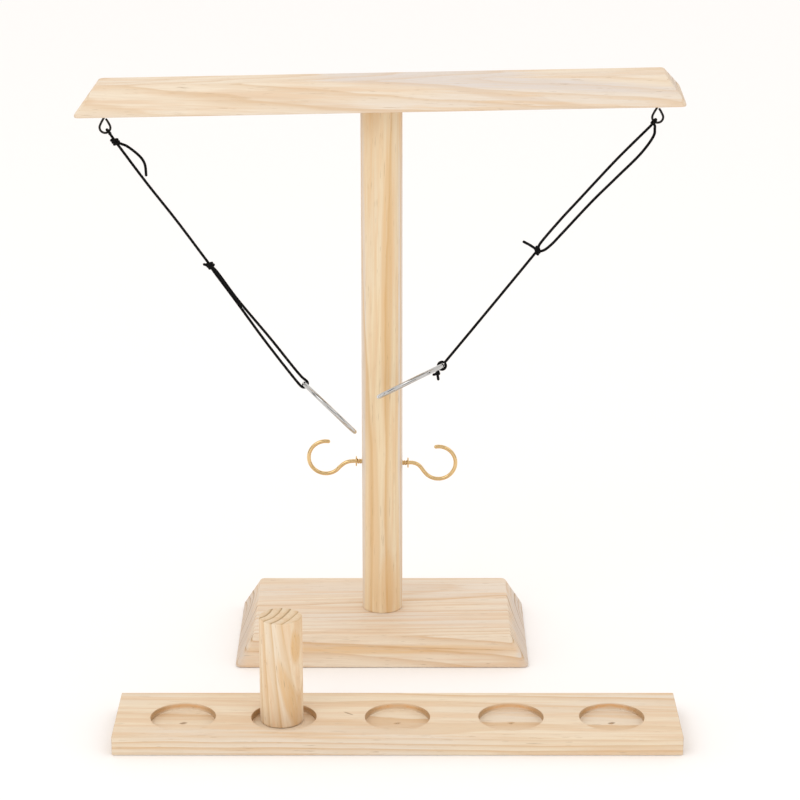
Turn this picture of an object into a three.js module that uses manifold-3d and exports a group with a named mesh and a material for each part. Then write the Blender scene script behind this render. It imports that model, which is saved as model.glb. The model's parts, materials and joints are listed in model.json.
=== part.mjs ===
// Tabletop hook-and-ring toss game: a wooden stand with two hooks, two rings that hang on cords,
// a loose drinks board with five recesses and a loose round marker peg.
// Millimetres. +X right, +Y back, +Z up. The origin is the centre of the base's underside.

import * as THREE from 'three';
import { ConvexGeometry } from 'three/addons/geometries/ConvexGeometry.js';
import { mergeVertices } from 'three/addons/utils/BufferGeometryUtils.js';
import Module from 'manifold-3d';

const wasm = await Module();
wasm.setup();

// ---- Driving dimensions ----

const GAP = 0.3;
const LEFT = -1;
const RIGHT = 1;

const BASE = { width: 194.5, depth: 108, height: 22, land: 3, corner: 3, endBevel: 12, sideBevel: 2.5 };
const POST = { radius: 13.5, bottom: BASE.height + GAP, top: 369, chamfer: 0.8 };
const CROSSBAR = { width: 386, depth: 64, height: 17, land: 2, corner: 3, endBevel: 11.5, sideBevel: 18 };
// The bar sits a little turned and tipped on the post, as the single screw lets it.
const BAR_SEAT = { x: -0.5, lift: 0.6, yaw: -1.5, roll: 1.4 };

const DOWEL_SCREW = { crest: 2.5, root: 1.8, pitch: 3, end: 2.5 };
const BASE_SCREW = { bottom: 5, top: 42 };
const BAR_SCREW = { bottom: 352, top: 382 };
const SCREW_HOLE = { radius: 2.9, barRadius: 3.4, clearance: 1 };

const HOOK = {
  wire: 1.3, inner: 4, shankEnd: 20.5, bendOut: 24.4, curlOut: 37.6, curlRadius: 11.4,
  leaveAngle: -144, tipAngle: 105, threadCrest: 1.9, threadRoot: 1.4, threadPitch: 1.4, threadEnd: 16.4,
  holeRadius: 2.3, holeEnd: 3.2,
};
const HOOK_HEIGHT = { [LEFT]: 126.5, [RIGHT]: 125.4 };
const CURL_RISE = { [LEFT]: 2.7, [RIGHT]: 0 };
const COLLAR = { at: 17.25, thickness: 0.9, outer: 3.5, inner: HOOK.wire + GAP };

const EYE = {
  wire: 0.75, radius: 3.5, drop: 12.8, neck: 6.2, shankTop: 9.5, threadCrest: 1.1, threadRoot: 0.8,
  threadPitch: 1.3, holeRadius: 1.4, holeDepth: 10.5,
};
const EYE_X = { [LEFT]: -178, [RIGHT]: 177 };

const BOARD = { width: 352, depth: 65.5, height: 12.5, chamfer: 0.9, x: 10.3, y: -154 };
// The row of recesses lies a little in front of the board's middle.
const RECESS = { radius: 20.25, depth: 4.6, offsets: [-134, -71, 0, 71, 134], row: -3.1, mark: 1.3 };
const PEG = { radius: 13.5, length: 70, chamfer: 0.8, x: -62.2, y: -151.9 };

const RING = { outer: 24.25, wire: 1.5 };
RING.radius = RING.outer - RING.wire;
// Each ring hangs edge-on to the front: "along" runs from its cord to its far side.
const LEFT_RING = { centre: [-34.2, -33, 174.9], along: [0.719, -0.145, -0.678], across: [-0.03, 0.95, -0.31] };
const RIGHT_RING = { centre: [18.6, -39.9, 195.2], along: [-0.897, -0.093, -0.433], across: [0, 0.95, -0.3] };

const CORD = { radius: 0.9, sides: 8, step: 4.5 };
// The direction in which each hitch leaves its eye, in degrees from +X, in the bar's own XZ plane.
const HITCH_ANGLE = { [LEFT]: -52.4, [RIGHT]: -131 };

const LEFT_RUN = [[-169.6, 2, 341.4], [-151.5, -2.9, 317.6], [-132.7, -7.7, 294.2], [-113.2, -13, 268.6]];
const LEFT_TAIL = [[-167.6, 2.4, 342.2], [-164.3, 2.3, 340.9], [-155.3, 0.8, 333.8], [-152.7, -0.2, 329.5],
  [-151.8, -1.8, 321.7]];
const LEFT_INNER_LEG = [[-107.6, -15.2, 263], [-93.7, -19, 244.7], [-72.4, -23.6, 219.4], [-51.9, -28.6, 194.5]];
const LEFT_OUTER_LEG = [[-108.9, -13.6, 261.8], [-95.1, -17.6, 243.5], [-75.2, -24.2, 217], [-54.9, -29.7, 191.5]];
const RIGHT_INNER_LEG = [[172.3, -5.9, 355.9], [151.6, -10, 335.8], [137.4, -13.2, 321], [126.5, -15.6, 309.4],
  [114.7, -18.3, 296.9], [101.6, -21.5, 281.6]];
const RIGHT_OUTER_LEG = [[174.9, -6.3, 354.2], [174.6, -6.9, 350.5], [167.5, -9.1, 340.1], [150.5, -12.7, 323.4],
  [135.9, -15.6, 309.4], [114.8, -20.3, 287.3], [109.2, -21.6, 281.6], [104.9, -22.3, 278.3]];
const RIGHT_RUN = [[98, -22.9, 275.2], [60.2, -32.5, 230.1], [41.5, -37.2, 208]];
const RIGHT_TAIL = [[97.4, -21.9, 280], [95.3, -21.6, 281.3], [90.7, -21.1, 283.7]];

const WOOD = { color: 0xe2c5a2, roughness: 0.6, metalness: 0 };
const BRASS = { color: 0xb08d4c, roughness: 0.25, metalness: 1 };
const DARK_WIRE = { color: 0x2a2826, roughness: 0.4, metalness: 0.8 };
const STEEL = { color: 0xc8cacc, roughness: 0.2, metalness: 1 };
const CORD_BLACK = { color: 0x111111, roughness: 0.85, metalness: 0 };

// ---- Helpers ----

const vector = ([x, y, z]) => new THREE.Vector3(x, y, z);
const radians = THREE.MathUtils.degToRad;

function mesh(name, geometry, look) {
  const made = new THREE.Mesh(geometry, new THREE.MeshStandardMaterial(look));
  made.name = name;
  return made;
}

// A manifold solid from a closed geometry. Slivers with a repeated corner, as at a lathe's poles, are dropped.
function solidOf(geometry) {
  const bare = geometry.clone();
  bare.deleteAttribute('normal');
  bare.deleteAttribute('uv');
  const merged = mergeVertices(bare, 1e-4);
  const corners = [];
  for (let i = 0; i < merged.index.count; i += 3) {
    const [a, b, c] = [merged.index.getX(i), merged.index.getX(i + 1), merged.index.getX(i + 2)];
    if (a !== b && b !== c && c !== a) corners.push(a, b, c);
  }
  const vertProperties = new Float32Array(merged.getAttribute('position').array);
  return new wasm.Manifold(new wasm.Mesh({ numProp: 3, vertProperties, triVerts: new Uint32Array(corners) }));
}

function geometryOf(solid) {
  const { vertProperties, triVerts } = solid.getMesh();
  const geometry = new THREE.BufferGeometry();
  geometry.setAttribute('position', new THREE.BufferAttribute(vertProperties, 3));
  geometry.setIndex(new THREE.BufferAttribute(triVerts, 1));
  geometry.computeVertexNormals();
  return geometry;
}

function cut(geometry, tools) {
  return geometryOf(tools.reduce((rest, tool) => rest.subtract(solidOf(tool)), solidOf(geometry)));
}

function join(...geometries) {
  return geometryOf(geometries.map(solidOf).reduce((whole, next) => whole.add(next)));
}

function roundedRectangle(width, depth, corner, z) {
  const points = [];
  const arcSteps = 3;
  for (const [sx, sy] of [[1, 1], [-1, 1], [-1, -1], [1, -1]]) {
    for (let k = 0; k <= arcSteps; k++) {
      const turn = (k / arcSteps) * (Math.PI / 2);
      const x = width / 2 - corner + corner * Math.cos(turn);
      const y = depth / 2 - corner + corner * Math.sin(turn);
      points.push(new THREE.Vector3(sx * x, sy * y, z));
    }
  }
  return points;
}

// A board with a short upright edge all round and bevels that rise from it to a smaller top.
function bevelledBoard({ width, depth, height, land, corner, endBevel, sideBevel }) {
  return new ConvexGeometry([
    ...roundedRectangle(width, depth, corner, 0),
    ...roundedRectangle(width, depth, corner, land),
    ...roundedRectangle(width - 2 * endBevel, depth - 2 * sideBevel, corner, height),
  ]);
}

// A lathe about Z from [radius, z] pairs that start and end on the axis.
function turned(profile, segments) {
  const points = profile.map(([radius, z]) => new THREE.Vector2(radius, z));
  return new THREE.LatheGeometry(points, segments).rotateX(Math.PI / 2);
}

function dowel({ radius, chamfer }, bottom, top, segments = 48) {
  return turned([
    [0, bottom], [radius - chamfer, bottom], [radius, bottom + chamfer],
    [radius, top - chamfer], [radius - chamfer, top], [0, top],
  ], segments);
}

function hole(radius, bottom, top, segments = 24) {
  return turned([[0, bottom], [radius, bottom], [radius, top], [0, top]], segments);
}

// Ridges stand in for a thread along Z, from "from" to "to", with a blunt start at each end.
function threadProfile({ crest, root, pitch }, from, to) {
  const turns = Math.floor((to - from) / pitch);
  const profile = [[0, from], [root, from]];
  for (let i = 0; i < turns; i++) {
    const start = from + i * pitch;
    profile.push([root, start + 0.2 * pitch], [crest, start + 0.5 * pitch], [root, start + 0.8 * pitch]);
  }
  profile.push([root, to], [0, to]);
  return profile;
}

function circleSection(radius, sides) {
  const section = new THREE.Shape();
  for (let k = 0; k < sides; k++) {
    const turn = (k / sides) * 2 * Math.PI;
    section[k === 0 ? 'moveTo' : 'lineTo'](radius * Math.cos(turn), radius * Math.sin(turn));
  }
  section.closePath();
  return section;
}

// A round tube through the points, with flat ends.
function tube(points, radius, sides, step) {
  const path = new THREE.CatmullRomCurve3(points, false, 'centripetal');
  const steps = Math.max(2, Math.round(path.getLength() / step));
  return new THREE.ExtrudeGeometry(circleSection(radius, sides), { steps, extrudePath: path, bevelEnabled: false });
}

function arc(centreX, centreZ, radius, from, to, steps) {
  const points = [];
  for (let k = 0; k <= steps; k++) {
    const turn = radians(from + ((to - from) * k) / steps);
    points.push(new THREE.Vector3(centreX + radius * Math.cos(turn), 0, centreZ + radius * Math.sin(turn)));
  }
  return points;
}

// ---- Stand ----

// The crossbar, its two eyes and the hitches on them share this frame, whose origin is the bar's underside.
function barFrame() {
  const frame = new THREE.Group();
  frame.position.set(BAR_SEAT.x, 0, POST.top + BAR_SEAT.lift);
  frame.rotation.order = 'ZYX';
  frame.rotation.z = radians(BAR_SEAT.yaw);
  frame.rotation.y = radians(-BAR_SEAT.roll);
  return frame;
}

function baseBoard() {
  const screwHole = hole(SCREW_HOLE.radius, BASE_SCREW.bottom - SCREW_HOLE.clearance, BASE.height + 1);
  return mesh('base_board', cut(bevelledBoard(BASE), [screwHole]), WOOD);
}

function hookHole(side) {
  const bore = hole(HOOK.holeRadius, HOOK.holeEnd, POST.radius + 1).rotateY(side * Math.PI / 2);
  return bore.translate(0, 0, HOOK_HEIGHT[side]);
}

function post() {
  const lower = hole(SCREW_HOLE.radius, POST.bottom - 1, BASE_SCREW.top + SCREW_HOLE.clearance);
  const upper = hole(SCREW_HOLE.radius, BAR_SCREW.bottom - SCREW_HOLE.clearance, POST.top + 1);
  const tools = [lower, upper, hookHole(LEFT), hookHole(RIGHT)];
  return mesh('post', cut(dowel(POST, POST.bottom, POST.top), tools), WOOD);
}

function crossbar() {
  const tools = [hole(SCREW_HOLE.barRadius, -1, BAR_SCREW.top - POST.top + SCREW_HOLE.clearance)];
  for (const side of [LEFT, RIGHT]) {
    tools.push(hole(EYE.holeRadius, -1, EYE.holeDepth, 16).translate(EYE_X[side], 0, 0));
  }
  return mesh('crossbar', cut(bevelledBoard(CROSSBAR), tools), WOOD);
}

function dowelScrew(name, { bottom, top }) {
  const profile = threadProfile(DOWEL_SCREW, bottom + DOWEL_SCREW.end, top - DOWEL_SCREW.end);
  profile[0] = [0, bottom];
  profile[profile.length - 1] = [0, top];
  return mesh(name, turned(profile, 14), STEEL);
}

// A screw hook drawn out along +X, then mirrored to the left: thread, shank, a dip and the open curl.
function hook(name, side) {
  const rise = CURL_RISE[side];
  const curl = arc(HOOK.curlOut, rise, HOOK.curlRadius, HOOK.leaveAngle, HOOK.tipAngle, 20);
  const shank = [HOOK.inner, 12, HOOK.shankEnd].map((x) => new THREE.Vector3(x, 0, 0));
  const bend = new THREE.Vector3(HOOK.bendOut, 0, 0.25 * curl[0].z);
  const wire = tube([...shank, bend, ...curl], HOOK.wire, 10, 1.8);
  const ridges = { crest: HOOK.threadCrest, root: HOOK.threadRoot, pitch: HOOK.threadPitch };
  const thread = turned(threadProfile(ridges, HOOK.inner - 0.2, HOOK.threadEnd), 12).rotateY(Math.PI / 2);
  const made = join(wire, thread);
  if (side === LEFT) made.rotateZ(Math.PI);
  return mesh(name, made.translate(0, 0, HOOK_HEIGHT[side]), BRASS);
}

function collar(name, side) {
  const { at, thickness, outer, inner } = COLLAR;
  const edge = 0.2;
  const profile = [[inner, 0], [outer - edge, 0], [outer, edge], [outer, thickness - edge],
    [outer - edge, thickness], [inner, thickness], [inner, 0]];
  const disc = turned(profile, 28).translate(0, 0, at - thickness / 2).rotateY(side * Math.PI / 2);
  return mesh(name, disc.translate(0, 0, HOOK_HEIGHT[side]), BRASS);
}

// A wire eye under the bar, in the bar's frame: a shank in the wood and a drop-shaped ring below it.
function screwEye(name, side) {
  const { wire, radius, drop, neck, shankTop } = EYE;
  const ring = arc(0, -drop, radius, 155, 385, 14);
  const path = [[0, 0, shankTop], [0, 0, 0], [0, 0, -neck + 1.5], [-0.3, 0, -neck], [-1.9, 0, -drop + 3.9]].map(vector);
  const end = [[2, 0, -drop + 3.9]].map(vector);
  const wireSolid = tube([...path, ...ring, ...end], wire, 8, 1.1);
  const ridges = { crest: EYE.threadCrest, root: EYE.threadRoot, pitch: EYE.threadPitch };
  const thread = turned(threadProfile(ridges, 0.4, shankTop + 0.2), 10);
  return mesh(name, join(wireSolid, thread).translate(EYE_X[side], 0, 0), DARK_WIRE);
}

// ---- Rings and cords ----

function ringAxes({ along, across }) {
  const u = vector(along).normalize();
  const v = vector(across);
  v.addScaledVector(u, -v.dot(u)).normalize();
  return [u, v, new THREE.Vector3().crossVectors(u, v)];
}

function ring(name, place) {
  const basis = new THREE.Matrix4().makeBasis(...ringAxes(place)).setPosition(vector(place.centre));
  return mesh(name, new THREE.TorusGeometry(RING.radius, RING.wire, 12, 56).applyMatrix4(basis), STEEL);
}

// The middle of the ring's wire where its cord holds it.
function ringGrip(place) {
  return vector(place.centre).addScaledVector(ringAxes(place)[0], -RING.radius);
}

// The turn of cord that grips an eye, in the bar's frame, as a ring about the eye's wire.
function eyeHitch(name, side) {
  const turn = radians(HITCH_ANGLE[side]);
  const grip = new THREE.TorusGeometry(EYE.wire + CORD.radius + GAP, CORD.radius, 8, 20);
  grip.rotateY(Math.PI / 2).rotateY(-turn - Math.PI / 2);
  const x = EYE_X[side] + EYE.radius * Math.cos(turn);
  return mesh(name, grip.translate(x, 0, -EYE.drop + EYE.radius * Math.sin(turn)), CORD_BLACK);
}

// The turn of cord that grips a ring, about the ring's wire.
function ringHitch(name, place) {
  const [u, v, n] = ringAxes(place);
  const basis = new THREE.Matrix4().makeBasis(n, u, v).setPosition(ringGrip(place));
  const grip = new THREE.TorusGeometry(RING.wire + CORD.radius + GAP, CORD.radius, 8, 24);
  return mesh(name, grip.applyMatrix4(basis), CORD_BLACK);
}

function cord(name, route) {
  return mesh(name, tube(route.map(vector), CORD.radius, CORD.sides, CORD.step), CORD_BLACK);
}

// A knot's outer shape: a capsule from one point to another.
function knotBody(from, to, radius) {
  const axis = new THREE.Vector3().subVectors(to, from);
  const shape = new THREE.CapsuleGeometry(radius, axis.length() - 2 * radius, 4, 12);
  shape.applyQuaternion(new THREE.Quaternion().setFromUnitVectors(new THREE.Vector3(0, 1, 0), axis.normalize()));
  const middle = new THREE.Vector3().addVectors(from, to).multiplyScalar(0.5);
  return shape.translate(middle.x, middle.y, middle.z);
}

function stub(from, to) {
  return tube([from, to], CORD.radius, CORD.sides, CORD.step);
}

function leftString() {
  const upper = knotBody(vector([-174.1, 3.9, 347.3]), vector([-170.1, 2.2, 342]), 2.3);
  const lower = knotBody(vector([-113, -13.1, 268.2]), vector([-108.7, -14.5, 262.7]), 2.4);
  const lowerEnd = stub(vector([-111, -13.8, 265.4]), vector([-115.8, -13.6, 266.6]));
  return [
    mesh('left_upper_knot', upper, CORD_BLACK),
    cord('left_cord_tail', LEFT_TAIL),
    cord('left_cord_run', LEFT_RUN),
    mesh('left_lower_knot', join(lower, lowerEnd), CORD_BLACK),
    cord('left_cord_inner_leg', LEFT_INNER_LEG),
    cord('left_cord_outer_leg', LEFT_OUTER_LEG),
    ringHitch('left_ring_hitch', LEFT_RING),
  ];
}

// The small knot below the right ring's grip, with the cord's two cut ends.
function ringKnot(name) {
  const [u, , n] = ringAxes(RIGHT_RING);
  const at = (along, below) => ringGrip(RIGHT_RING).addScaledVector(u, along).addScaledVector(n, below);
  const body = knotBody(at(4.4, 3.1), at(5.5, 3.7), 1.6 - 0.001);
  return mesh(name, join(body, stub(at(5, 3.4), at(8.4, 2.6)), stub(at(5, 3.4), at(6.2, 7.6))), CORD_BLACK);
}

function rightString() {
  const knot = knotBody(vector([102.1, -21.8, 280.2]), vector([98.3, -22.8, 275.6]), 2.2);
  return [
    cord('right_cord_inner_leg', RIGHT_INNER_LEG),
    cord('right_cord_outer_leg', RIGHT_OUTER_LEG),
    mesh('right_cord_knot', knot, CORD_BLACK),
    cord('right_cord_tail', RIGHT_TAIL),
    cord('right_cord_run', RIGHT_RUN),
    ringHitch('right_ring_hitch', RIGHT_RING),
    ringKnot('right_ring_knot'),
  ];
}

// ---- Loose pieces ----

function drinksBoard() {
  const { width, depth, height, chamfer, x, y } = BOARD;
  const inset = 2 * chamfer;
  const corners = (w, d, z) => [[1, 1], [-1, 1], [-1, -1], [1, -1]]
    .map(([sx, sy]) => new THREE.Vector3((sx * w) / 2, (sy * d) / 2, z));
  const blank = new ConvexGeometry([0, height].flatMap((z) => corners(width - inset, depth - inset, z))
    .concat([chamfer, height - chamfer].flatMap((z) => [
      ...corners(width, depth - inset, z), ...corners(width - inset, depth, z),
    ])));
  const floor = height - RECESS.depth;
  const mark = [[0, floor - RECESS.mark], [RECESS.mark, floor + 0.1], [0, floor + 0.1]];
  const tools = RECESS.offsets.flatMap((offset) => [
    hole(RECESS.radius, floor, height + 1, 48).translate(offset, RECESS.row, 0),
    turned(mark, 12).translate(offset, RECESS.row, 0),
  ]);
  return mesh('drinks_board', cut(blank, tools).translate(x, y, 0), WOOD);
}

function markerPeg() {
  const bottom = BOARD.height - RECESS.depth + GAP;
  const peg = mesh('marker_peg', dowel(PEG, 0, PEG.length), WOOD);
  peg.position.set(PEG.x, PEG.y, bottom);
  return peg;
}

// ---- Assembly ----

const bar = barFrame();
bar.add(crossbar());
bar.add(screwEye('left_screw_eye', LEFT), screwEye('right_screw_eye', RIGHT));
bar.add(eyeHitch('left_eye_hitch', LEFT), eyeHitch('right_eye_hitch', RIGHT));

const game = new THREE.Group();
game.add(baseBoard(), post(), bar);
game.add(dowelScrew('base_dowel_screw', BASE_SCREW), dowelScrew('crossbar_dowel_screw', BAR_SCREW));
for (const [name, side] of [['left', LEFT], ['right', RIGHT]]) {
  game.add(hook(`${name}_hook`, side), collar(`${name}_hook_collar`, side));
}
game.add(...leftString(), ring('left_ring', LEFT_RING));
game.add(...rightString(), ring('right_ring', RIGHT_RING));
game.add(drinksBoard(), markerPeg());

export default game;
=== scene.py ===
"""Tabletop hook-and-ring toss game, dressed for a studio picture.

The pine stand, drinks board and marker peg, the brass hooks, the steel rings and the black strings are
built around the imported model, in metres, in its own frame: +X right, +Y back, +Z up.
"""

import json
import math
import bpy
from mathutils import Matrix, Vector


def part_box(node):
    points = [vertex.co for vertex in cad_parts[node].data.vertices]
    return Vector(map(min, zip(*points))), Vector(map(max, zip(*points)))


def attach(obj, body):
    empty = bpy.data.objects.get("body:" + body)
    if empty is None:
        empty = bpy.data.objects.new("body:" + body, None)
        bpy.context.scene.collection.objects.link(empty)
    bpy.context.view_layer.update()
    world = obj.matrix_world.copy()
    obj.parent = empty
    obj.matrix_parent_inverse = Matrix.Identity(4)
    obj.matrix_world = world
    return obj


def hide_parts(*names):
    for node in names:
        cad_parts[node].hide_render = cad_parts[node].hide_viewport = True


bl_info = {
    "name": "Hook and Ring Game",
    "version": (1, 0, 0),
    "blender": (4, 5, 0),
    "location": "3D View > Sidebar > Ring Game",
    "description": "Builds the wood, wire and string of a tabletop hook-and-ring toss game",
    "category": "Object",
}

import bmesh
import bpy
from bpy.props import FloatProperty, FloatVectorProperty, IntProperty, PointerProperty
from mathutils import Euler, Matrix, Vector

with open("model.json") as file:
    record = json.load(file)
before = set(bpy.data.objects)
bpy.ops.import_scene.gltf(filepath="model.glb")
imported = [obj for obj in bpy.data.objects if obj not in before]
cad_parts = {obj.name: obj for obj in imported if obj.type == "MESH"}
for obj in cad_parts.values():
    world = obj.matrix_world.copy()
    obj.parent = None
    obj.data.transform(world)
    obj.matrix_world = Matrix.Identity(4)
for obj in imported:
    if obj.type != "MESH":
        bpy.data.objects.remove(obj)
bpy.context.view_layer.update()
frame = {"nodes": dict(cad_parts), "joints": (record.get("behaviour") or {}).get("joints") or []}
JOINTS = {joint["name"]: joint for joint in frame["joints"]}

MM = 0.001
LEFT, RIGHT = -1, 1
SIDE_NAME = {LEFT: "left", RIGHT: "right"}

# The strings' routes, in metres, as the solids of the part have them.
LEFT_EYE_GRIP = Vector(JOINTS["left_string_sway"]["pos_m"])
RIGHT_EYE_GRIP = Vector(JOINTS["right_string_sway"]["pos_m"])
LEFT_RING_GRIP = Vector(JOINTS["left_ring_tilt"]["pos_m"])
RIGHT_RING_GRIP = Vector(JOINTS["right_ring_tilt"]["pos_m"])

LEFT_STRING = [
    (-0.1741, 0.0039, 0.3473), (-0.1715, 0.0028, 0.3438), (-0.1696, 0.0020, 0.3414),
    (-0.1515, -0.0029, 0.3176), (-0.1327, -0.0077, 0.2942), (-0.1132, -0.0130, 0.2686),
    (-0.1108, -0.0138, 0.2656), (-0.1076, -0.0152, 0.2630), (-0.0937, -0.0190, 0.2447),
    (-0.0724, -0.0236, 0.2194), (-0.0519, -0.0286, 0.1945),
]
LEFT_STRING_BACK = [
    (-0.0549, -0.0297, 0.1915), (-0.0752, -0.0242, 0.2170), (-0.0951, -0.0176, 0.2435),
    (-0.1089, -0.0136, 0.2618), (-0.1108, -0.0136, 0.2648),
]
LEFT_TAIL = [
    (-0.1712, 0.0029, 0.3436), (-0.1676, 0.0024, 0.3422), (-0.1643, 0.0023, 0.3409),
    (-0.1553, 0.0008, 0.3338), (-0.1527, -0.0002, 0.3295), (-0.1518, -0.0018, 0.3217),
]
RIGHT_INNER_LEG = [
    (0.1723, -0.0059, 0.3559), (0.1516, -0.0100, 0.3358), (0.1374, -0.0132, 0.3210),
    (0.1265, -0.0156, 0.3094), (0.1147, -0.0183, 0.2969), (0.1016, -0.0215, 0.2816),
]
RIGHT_OUTER_LEG = [
    (0.1049, -0.0223, 0.2783), (0.1092, -0.0216, 0.2816), (0.1148, -0.0203, 0.2873),
    (0.1359, -0.0156, 0.3094), (0.1505, -0.0127, 0.3234), (0.1675, -0.0091, 0.3401),
    (0.1746, -0.0069, 0.3505), (0.1749, -0.0063, 0.3542),
]
RIGHT_RUN = [(0.0415, -0.0372, 0.2080), (0.0602, -0.0325, 0.2301), (0.0980, -0.0229, 0.2752)]
RIGHT_TAIL = [
    (0.0996, -0.0223, 0.2786), (0.0974, -0.0219, 0.2800), (0.0953, -0.0216, 0.2813),
    (0.0907, -0.0211, 0.2837),
]


# ---------------------------------------------------------------- settings


class RingGameWood(bpy.types.PropertyGroup):
    pale: FloatVectorProperty(
        name="Early wood", description="Colour of the pale bands of the growth rings",
        subtype="COLOR", size=3, min=0, max=1, default=(0.815, 0.705, 0.565),
    )
    dark: FloatVectorProperty(
        name="Late wood", description="Colour of the dark lines of the growth rings",
        subtype="COLOR", size=3, min=0, max=1, default=(0.61, 0.400, 0.210),
    )
    edge_radius: FloatProperty(
        name="Edge radius", description="How far the sanded edges are rounded",
        subtype="DISTANCE", unit="LENGTH", min=0.0001, max=0.003, default=0.9 * MM,
    )


class RingGameWire(bpy.types.PropertyGroup):
    hook_wire: FloatProperty(
        name="Hook wire", description="Radius of the hooks' wire",
        subtype="DISTANCE", unit="LENGTH", min=0.0005, max=0.003, default=1.3 * MM,
    )
    thread_pitch: FloatProperty(
        name="Thread pitch", description="Distance between turns of the hooks' wood thread",
        subtype="DISTANCE", unit="LENGTH", min=0.0005, max=0.003, default=1.4 * MM,
    )
    ring_wire: FloatProperty(
        name="Ring wire", description="Radius of the rings' wire",
        subtype="DISTANCE", unit="LENGTH", min=0.0005, max=0.003, default=1.5 * MM,
    )


class RingGameString(bpy.types.PropertyGroup):
    radius: FloatProperty(
        name="String radius", description="Radius of the braided string",
        subtype="DISTANCE", unit="LENGTH", min=0.0003, max=0.002, default=0.9 * MM,
    )
    strands: IntProperty(
        name="Strands", description="Strands that run each way round the braid",
        min=3, max=12, default=6,
    )


class RingGameSettings(bpy.types.PropertyGroup):
    wood: PointerProperty(type=RingGameWood)
    wire: PointerProperty(type=RingGameWire)
    string: PointerProperty(type=RingGameString)


# ---------------------------------------------------------------- mesh helpers


def add_mesh(name, vertices, faces, material, smooth=True):
    """A mesh object at the origin, with its place in its mesh."""
    mesh = bpy.data.meshes.new(name)
    mesh.from_pydata([tuple(v) for v in vertices], [], faces)
    mesh.validate()
    mesh.update()
    piece = bpy.data.objects.new(name, mesh)
    bpy.context.scene.collection.objects.link(piece)
    mesh.materials.append(material)
    for polygon in mesh.polygons:
        polygon.use_smooth = smooth
    return piece


def from_bmesh(name, work, material, smooth=True):
    bmesh.ops.recalc_face_normals(work, faces=work.faces)
    mesh = bpy.data.meshes.new(name)
    work.to_mesh(mesh)
    work.free()
    mesh.materials.append(material)
    for polygon in mesh.polygons:
        polygon.use_smooth = smooth
    piece = bpy.data.objects.new(name, mesh)
    bpy.context.scene.collection.objects.link(piece)
    return piece


def applied(piece):
    """The piece with its modifiers made part of its mesh."""
    bpy.context.view_layer.update()
    evaluated = piece.evaluated_get(bpy.context.evaluated_depsgraph_get())
    mesh = bpy.data.meshes.new_from_object(evaluated)
    piece.modifiers.clear()
    piece.data = mesh
    return piece


def round_edges(piece, radius, segments=3, angle=25):
    bevel = piece.modifiers.new("sanded edges", "BEVEL")
    bevel.width = radius
    bevel.segments = segments
    bevel.limit_method = "ANGLE"
    bevel.angle_limit = math.radians(angle)
    bevel.harden_normals = True
    bevel.use_clamp_overlap = True
    normals = piece.modifiers.new("flat faces", "WEIGHTED_NORMAL")
    normals.keep_sharp = False
    normals.weight = 100
    return applied(piece)


def smooth_path(points, spacing, alpha=0.5):
    """Points at even spacing along a centripetal Catmull-Rom curve through the given ones."""
    knots = [Vector(p) for p in points]
    ends = [2 * knots[0] - knots[1], *knots, 2 * knots[-1] - knots[-2]]
    dense = []
    for p0, p1, p2, p3 in zip(ends, ends[1:], ends[2:], ends[3:]):
        t0 = 0.0
        t1 = t0 + max((p1 - p0).length, 1e-9) ** alpha
        t2 = t1 + max((p2 - p1).length, 1e-9) ** alpha
        t3 = t2 + max((p3 - p2).length, 1e-9) ** alpha
        for k in range(24):
            t = t1 + (t2 - t1) * k / 24
            a1 = p0 * ((t1 - t) / (t1 - t0)) + p1 * ((t - t0) / (t1 - t0))
            a2 = p1 * ((t2 - t) / (t2 - t1)) + p2 * ((t - t1) / (t2 - t1))
            a3 = p2 * ((t3 - t) / (t3 - t2)) + p3 * ((t - t2) / (t3 - t2))
            b1 = a1 * ((t2 - t) / (t2 - t0)) + a2 * ((t - t0) / (t2 - t0))
            b2 = a2 * ((t3 - t) / (t3 - t1)) + a3 * ((t - t1) / (t3 - t1))
            dense.append(b1 * ((t2 - t) / (t2 - t1)) + b2 * ((t - t1) / (t2 - t1)))
    dense.append(knots[-1])
    return even_points(dense, spacing)


def even_points(dense, spacing):
    lengths = [0.0]
    for a, b in zip(dense, dense[1:]):
        lengths.append(lengths[-1] + (b - a).length)
    count = max(2, round(lengths[-1] / spacing))
    points, i = [], 0
    for k in range(count + 1):
        target = lengths[-1] * k / count
        while i < len(dense) - 2 and lengths[i + 1] < target:
            i += 1
        part = (target - lengths[i]) / max(lengths[i + 1] - lengths[i], 1e-12)
        points.append(dense[i].lerp(dense[i + 1], min(max(part, 0.0), 1.0)))
    return points


def carried_frames(points):
    """A tangent and two sideways directions at each point, carried along without twist."""
    tangents = []
    for i in range(len(points)):
        a, b = points[max(i - 1, 0)], points[min(i + 1, len(points) - 1)]
        tangents.append((b - a).normalized())
    start = Vector((0, 0, 1)) if abs(tangents[0].z) < 0.9 else Vector((1, 0, 0))
    side = tangents[0].cross(start).normalized()
    frames = []
    for i, tangent in enumerate(tangents):
        if i:
            side = tangents[i - 1].rotation_difference(tangent) @ side
            side = (side - tangent * side.dot(tangent)).normalized()
        frames.append((tangent, side, tangent.cross(side)))
    return frames


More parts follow.
